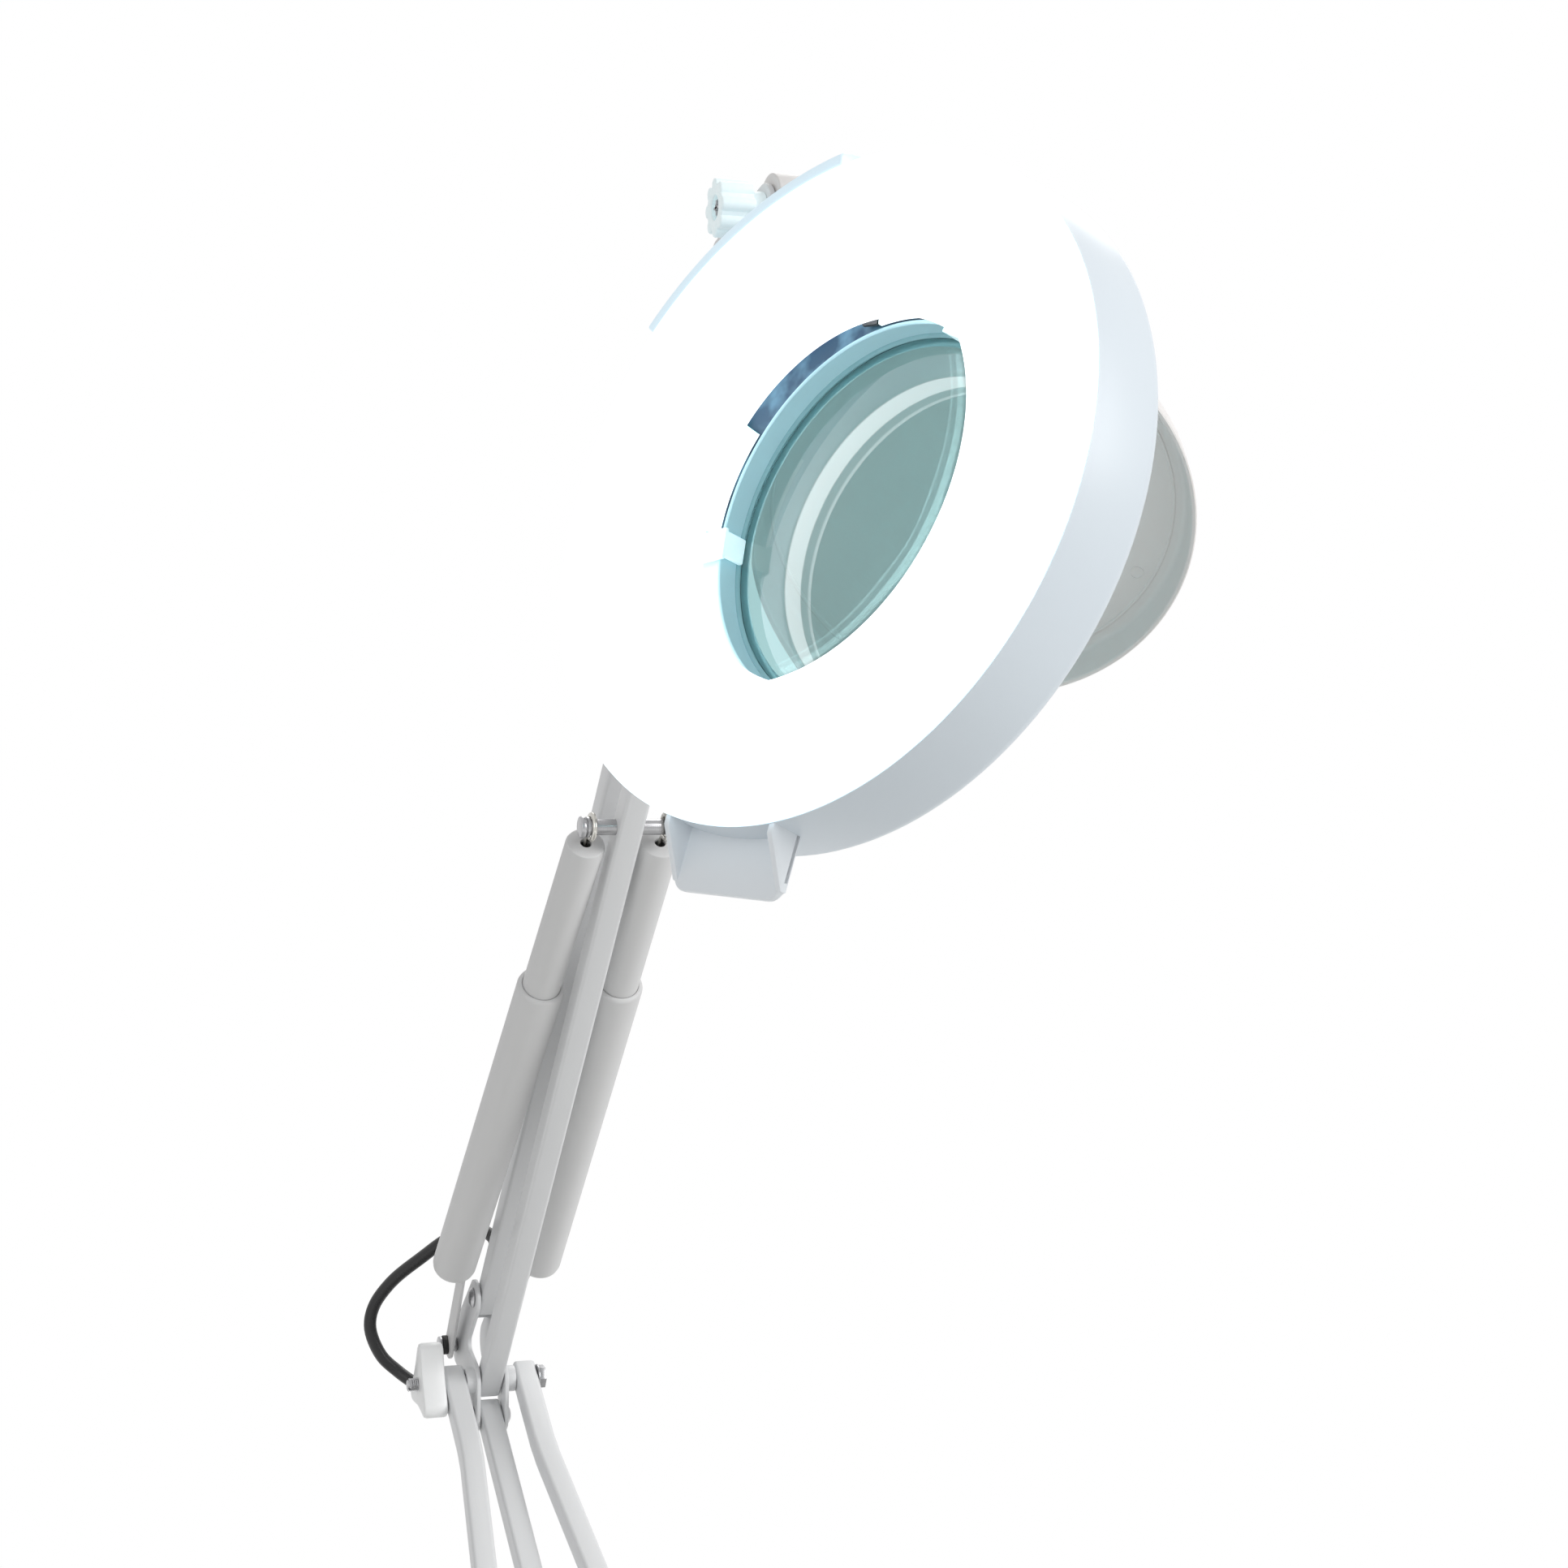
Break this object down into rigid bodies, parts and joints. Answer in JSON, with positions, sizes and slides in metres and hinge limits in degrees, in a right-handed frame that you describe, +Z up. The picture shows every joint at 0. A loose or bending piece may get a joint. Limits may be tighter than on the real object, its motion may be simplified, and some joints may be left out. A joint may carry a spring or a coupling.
{
  "type": "magnifying lamp",
  "caption": "Round magnifying lens in a ring light on a spring balanced folding arm, with a hinged lens cover and a screw clamp for a table edge.",
  "frame": {"origin": "on the table top, under the clamp's upper jaw, on the axis about which the arm turns", "axes": "+Z up, -Y from the arm's elbow towards the head, so over the table; +X to the right when looking along +Y"},
  "size_m": [0.2436, 0.7287, 1.0271],
  "materials": {
    "head_plastic": "satin white",
    "diffuser": "satin opal",
    "lens_glass": "polished, faint green",
    "cover_plastic": "satin light grey",
    "arm_paint": "satin light grey",
    "steel": "plain",
    "black_plastic": "matt black",
    "black_rubber": "matt black",
    "board": "white solder mask",
    "driver": "blue sleeve"
  },
  "bodies": {
    "clamp": {"clamp_frame": "arm_paint", "lead_relief": "black_plastic", "lead_stretch": "black_rubber", "lead_coil": "black_rubber", "lead_plug": "black_plastic"},
    "clamp_foot": {"clamp_foot": "black_plastic"},
    "clamp_screw": {"clamp_screw": "steel"},
    "clamp_handle": {"clamp_handle": "steel"},
    "turret": {"turret_bracket": "arm_paint", "turret_pivot_pin_left": "steel", "turret_pivot_pin_right": "steel", "turret_link_pin": "steel", "turret_spring_pin": "steel"},
    "lower_arm": {"lower_bar_left": "arm_paint", "lower_bar_right": "arm_paint", "elbow_bolt": "steel"},
    "lower_link": {"lower_link_bar": "arm_paint"},
    "elbow_knob": {"elbow_knob": "head_plastic"},
    "elbow": {"elbow_bracket": "arm_paint", "elbow_lower_link_pin": "steel", "elbow_upper_link_pin": "steel", "elbow_spring_pin_left": "steel", "elbow_spring_pin_right": "steel", "elbow_cord": "black_rubber"},
    "lower_springs_foot": {"lower_cover_lower_left": "cover_plastic", "lower_cover_lower_right": "cover_plastic"},
    "lower_springs_hook": {"lower_cover_upper_left": "cover_plastic", "lower_cover_upper_right": "cover_plastic", "lower_spring_left": "steel", "lower_spring_right": "steel"},
    "upper_arm": {"upper_front_bar": "arm_paint", "upper_spring_rod": "steel"},
    "upper_link": {"upper_rear_bar": "arm_paint"},
    "upper_springs_foot": {"upper_cover_lower_left": "cover_plastic", "upper_cover_lower_right": "cover_plastic"},
    "upper_springs_hook": {"upper_cover_upper_left": "cover_plastic", "upper_cover_upper_right": "cover_plastic", "upper_spring_left": "steel", "upper_spring_right": "steel"},
    "head_hanger": {"head_bracket": "arm_paint", "head_front_pin": "steel", "head_rear_pin": "steel", "tilt_bolt": "steel", "head_cord": "black_rubber"},
    "tilt_knob": {"tilt_knob": "head_plastic"},
    "neck": {"tilt_block": "cover_plastic", "swivel_stud": "steel"},
    "head": {"housing": "head_plastic", "switch_body": "black_plastic", "head_gland": "black_plastic", "diffuser": "diffuser", "led_board": "board", "lamp_driver": "driver", "lens": "lens_glass", "lens_clip_1": "head_plastic", "lens_clip_2": "head_plastic", "lens_clip_3": "head_plastic", "cover_pin": "steel"},
    "lens_cover": {"lens_cover": "cover_plastic"},
    "switch_rocker": {"switch_rocker": "black_plastic"}
  },
  "joints": [
    {"name": "clamp_travel", "type": "slide", "parent": "clamp", "child": "clamp_foot", "axis": [0, 0, 1], "range_m": [-0.0215, 0.0275]},
    {"name": "screw_turn", "type": "hinge", "parent": "clamp_foot", "child": "clamp_screw", "pos_m": [0, -0.018, -0.06], "axis": [0, 0, 1], "range_deg": [-3960, 5040]},
    {"name": "handle_slide", "type": "slide", "parent": "clamp_screw", "child": "clamp_handle", "axis": [1, 0, 0], "range_m": [-0.015, 0.015]},
    {"name": "turret_turn", "type": "hinge", "parent": "clamp", "child": "turret", "pos_m": [0, 0, 0.04], "axis": [0, 0, 1], "range_deg": [-170, 170]},
    {"name": "lower_arm_lift", "type": "hinge", "parent": "turret", "child": "lower_arm", "pos_m": [0, 0, 0.078], "axis": [1, 0, 0], "range_deg": [-24, 42]},
    {"name": "lower_link_swing", "type": "hinge", "parent": "turret", "child": "lower_link", "pos_m": [0, 0, 0.06], "axis": [1, 0, 0], "range_deg": [-24.5, 42.5]},
    {"name": "elbow_level", "type": "hinge", "parent": "lower_arm", "child": "elbow", "pos_m": [0, 0.46966, 0.383], "axis": [1, 0, 0], "range_deg": [-42.5, 24.5], "deforming": ["elbow_cord"]},
    {"name": "lower_springs_swing", "type": "hinge", "parent": "turret", "child": "lower_springs_foot", "pos_m": [0, 0, 0.0945], "axis": [1, 0, 0], "range_deg": [-25.22, 43.76]},
    {"name": "lower_springs_stretch", "type": "slide", "parent": "lower_springs_foot", "child": "lower_springs_hook", "axis": [0, 0.8601, 0.5102], "range_m": [-0.00893, 0.00532], "deforming": ["lower_spring_left", "lower_spring_right"]},
    {"name": "elbow_knob_turn", "type": "hinge", "parent": "lower_arm", "child": "elbow_knob", "pos_m": [0, 0.46966, 0.383], "axis": [1, 0, 0], "continuous": true},
    {"name": "upper_arm_lift", "type": "hinge", "parent": "elbow", "child": "upper_arm", "pos_m": [0, 0.46966, 0.383], "axis": [1, 0, 0], "range_deg": [-20, 34]},
    {"name": "upper_link_swing", "type": "hinge", "parent": "elbow", "child": "upper_link", "pos_m": [0, 0.46966, 0.425], "axis": [1, 0, 0], "range_deg": [-20.5, 34.5]},
    {"name": "upper_springs_swing", "type": "hinge", "parent": "elbow", "child": "upper_springs_foot", "pos_m": [0, 0.50966, 0.394], "axis": [1, 0, 0], "range_deg": [-19.28, 32.43]},
    {"name": "upper_springs_stretch", "type": "slide", "parent": "upper_springs_foot", "child": "upper_springs_hook", "axis": [0, -0.7451, 0.6669], "range_m": [-0.01139, 0.01901], "deforming": ["upper_spring_left", "upper_spring_right"]},
    {"name": "head_level", "type": "hinge", "parent": "upper_arm", "child": "head_hanger", "pos_m": [0, 0.05023, 0.83278], "axis": [1, 0, 0], "range_deg": [-34.5, 20.5]},
    {"name": "tilt_knob_turn", "type": "hinge", "parent": "head_hanger", "child": "tilt_knob", "pos_m": [0, -0.00377, 0.88278], "axis": [1, 0, 0], "continuous": true},
    {"name": "head_tilt", "type": "hinge", "parent": "head_hanger", "child": "neck", "pos_m": [0, -0.00377, 0.88278], "axis": [1, 0, 0], "range_deg": [-50, 25], "deforming": ["head_cord"]},
    {"name": "head_swivel", "type": "hinge", "parent": "neck", "child": "head", "pos_m": [0, -0.00377, 0.88278], "axis": [0, 0.6115, 0.7912], "range_deg": [-240, 20]},
    {"name": "cover_hinge", "type": "hinge", "parent": "head", "child": "lens_cover", "pos_m": [0.00284, -0.04324, 0.82898], "axis": [0.5075, -0.6817, 0.5269], "range_deg": [-60, 35]},
    {"name": "switch_rock", "type": "hinge", "parent": "head", "child": "switch_rocker", "pos_m": [0.02213, -0.07471, 0.85888], "axis": [0.4395, -0.8962, 0.0607], "range_deg": [0, 20]}
  ],
  "couplings": [
    {"joint": "lower_link_swing", "follows": "lower_arm_lift", "ratio": 1},
    {"joint": "elbow_level", "follows": "lower_arm_lift", "ratio": -1},
    {"joint": "lower_springs_swing", "follows": "lower_arm_lift", "ratio": 1.03},
    {"joint": "lower_springs_stretch", "follows": "lower_arm_lift", "m_per_rad": -0.0115},
    {"joint": "upper_link_swing", "follows": "upper_arm_lift", "ratio": 1},
    {"joint": "upper_springs_swing", "follows": "upper_arm_lift", "ratio": 0.939},
    {"joint": "upper_springs_stretch", "follows": "upper_arm_lift", "m_per_rad": 0.0312},
    {"joint": "head_level", "follows": "upper_arm_lift", "ratio": -1},
    {"joint": "screw_turn", "follows": "clamp_travel", "rad_per_m": 3141.6}
  ]
}
